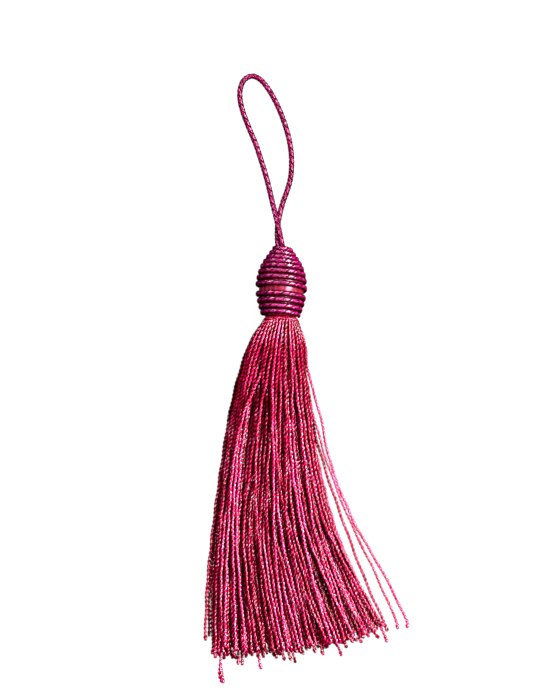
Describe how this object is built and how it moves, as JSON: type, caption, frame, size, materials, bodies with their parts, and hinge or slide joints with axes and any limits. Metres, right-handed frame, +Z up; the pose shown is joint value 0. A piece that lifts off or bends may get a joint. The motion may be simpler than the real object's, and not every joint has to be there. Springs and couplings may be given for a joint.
{
  "type": "silk tassel",
  "caption": "Silk tassel lying flat: a twisted hanging loop, an egg-shaped head wound with cord, and a long skirt of twisted strands.",
  "frame": {"origin": "on the surface that the tassel lies on, at the middle of the rectangle that head and skirt cover", "axes": "+Y from the skirt to the head and its loop, +Z up from the surface, +X to the right when the tassel is seen from above with its head up"},
  "size_m": [0.0681, 0.2029, 0.0171],
  "materials": {
    "loop_cord": "lustrous twisted silk cord",
    "mould_satin": "satin",
    "wrap_cord": "lustrous twisted silk cord",
    "skirt_yarn": "lustrous twisted silk strands"
  },
  "bodies": {
    "root": {"hanging_loop": "loop_cord", "head_mould": "mould_satin", "head_wrap": "wrap_cord", "skirt": "skirt_yarn"}
  },
  "joints": []
}
